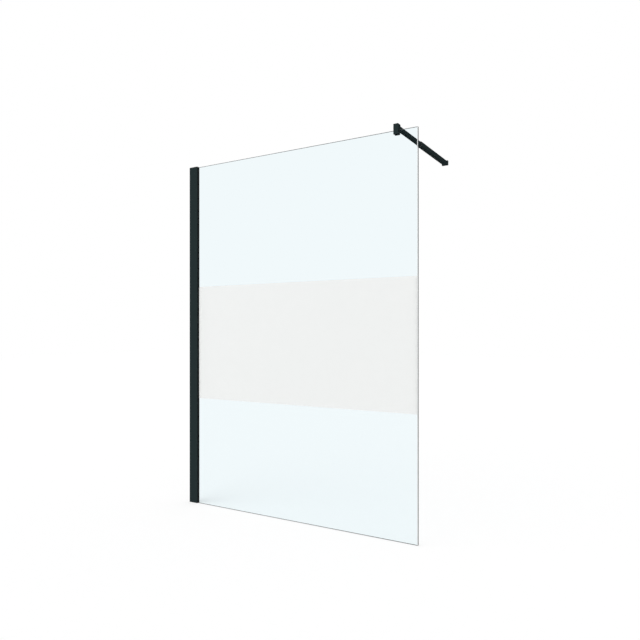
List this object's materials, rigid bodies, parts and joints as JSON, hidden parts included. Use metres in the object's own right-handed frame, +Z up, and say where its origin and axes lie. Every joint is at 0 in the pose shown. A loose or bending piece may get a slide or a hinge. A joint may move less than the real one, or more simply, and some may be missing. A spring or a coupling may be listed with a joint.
{
  "type": "walk-in shower screen",
  "caption": "Walk-in shower screen: a glass pane with a frosted band in an adjustable black wall profile, steadied by a telescopic bar clamped on its top edge.",
  "frame": {"origin": "on the wall face of the wall post, in the middle of the glass's thickness, at the foot of the screen", "axes": "+X along the glass away from its wall, +Y from the glass along the bar to the far wall, +Z up"},
  "size_m": [1.407, 0.7256, 1.9795],
  "materials": {
    "black_powder_coat": "matt black powder coat on aluminium",
    "black_plastic": "fine-textured black plastic",
    "black_rubber": "matt black rubber",
    "clear_grey_plastic": "cloudy grey plastic",
    "clear_glass": "clear toughened glass with ground edges",
    "frosted_glass": "satin translucent layer",
    "stainless_steel": "plain stainless steel",
    "black_steel": "blackened steel",
    "plain_aluminium": "plain cast aluminium"
  },
  "bodies": {
    "post": {"wall_post": "black_powder_coat"},
    "screen": {"glass_channel": "black_powder_coat", "top_end_cap": "black_plastic", "front_gasket": "black_rubber", "rear_gasket": "black_rubber", "setting_blocks": "clear_grey_plastic", "glass_pane": "clear_glass", "frosted_band": "frosted_glass", "locking_screws": "stainless_steel", "locking_nuts": "stainless_steel", "locking_screw_caps": "black_plastic"},
    "bar_clamp": {"clamp_body": "black_powder_coat", "clamp_liner": "black_rubber", "clamp_pressure_plate": "stainless_steel", "clamp_grub_screws": "black_steel", "tube_set_screw": "black_steel", "inner_tube": "black_powder_coat", "inner_tube_glide": "black_plastic"},
    "bar_sleeve": {"outer_tube": "black_powder_coat", "guide_bush": "black_plastic", "tube_lock_screw": "black_steel", "wall_boss": "plain_aluminium", "wall_rose": "black_powder_coat", "boss_set_screw": "black_steel"}
  },
  "joints": [
    {"name": "width_adjustment", "type": "slide", "parent": "post", "child": "screen", "axis": [1, 0, 0], "range_m": [-0.001, 0.016]},
    {"name": "clamp_position", "type": "slide", "parent": "screen", "child": "bar_clamp", "axis": [1, 0, 0], "range_m": [-1.2, 0.09]},
    {"name": "bar_length", "type": "slide", "parent": "bar_clamp", "child": "bar_sleeve", "axis": [0, 1, 0], "range_m": [-0.03, 0.33]}
  ]
}
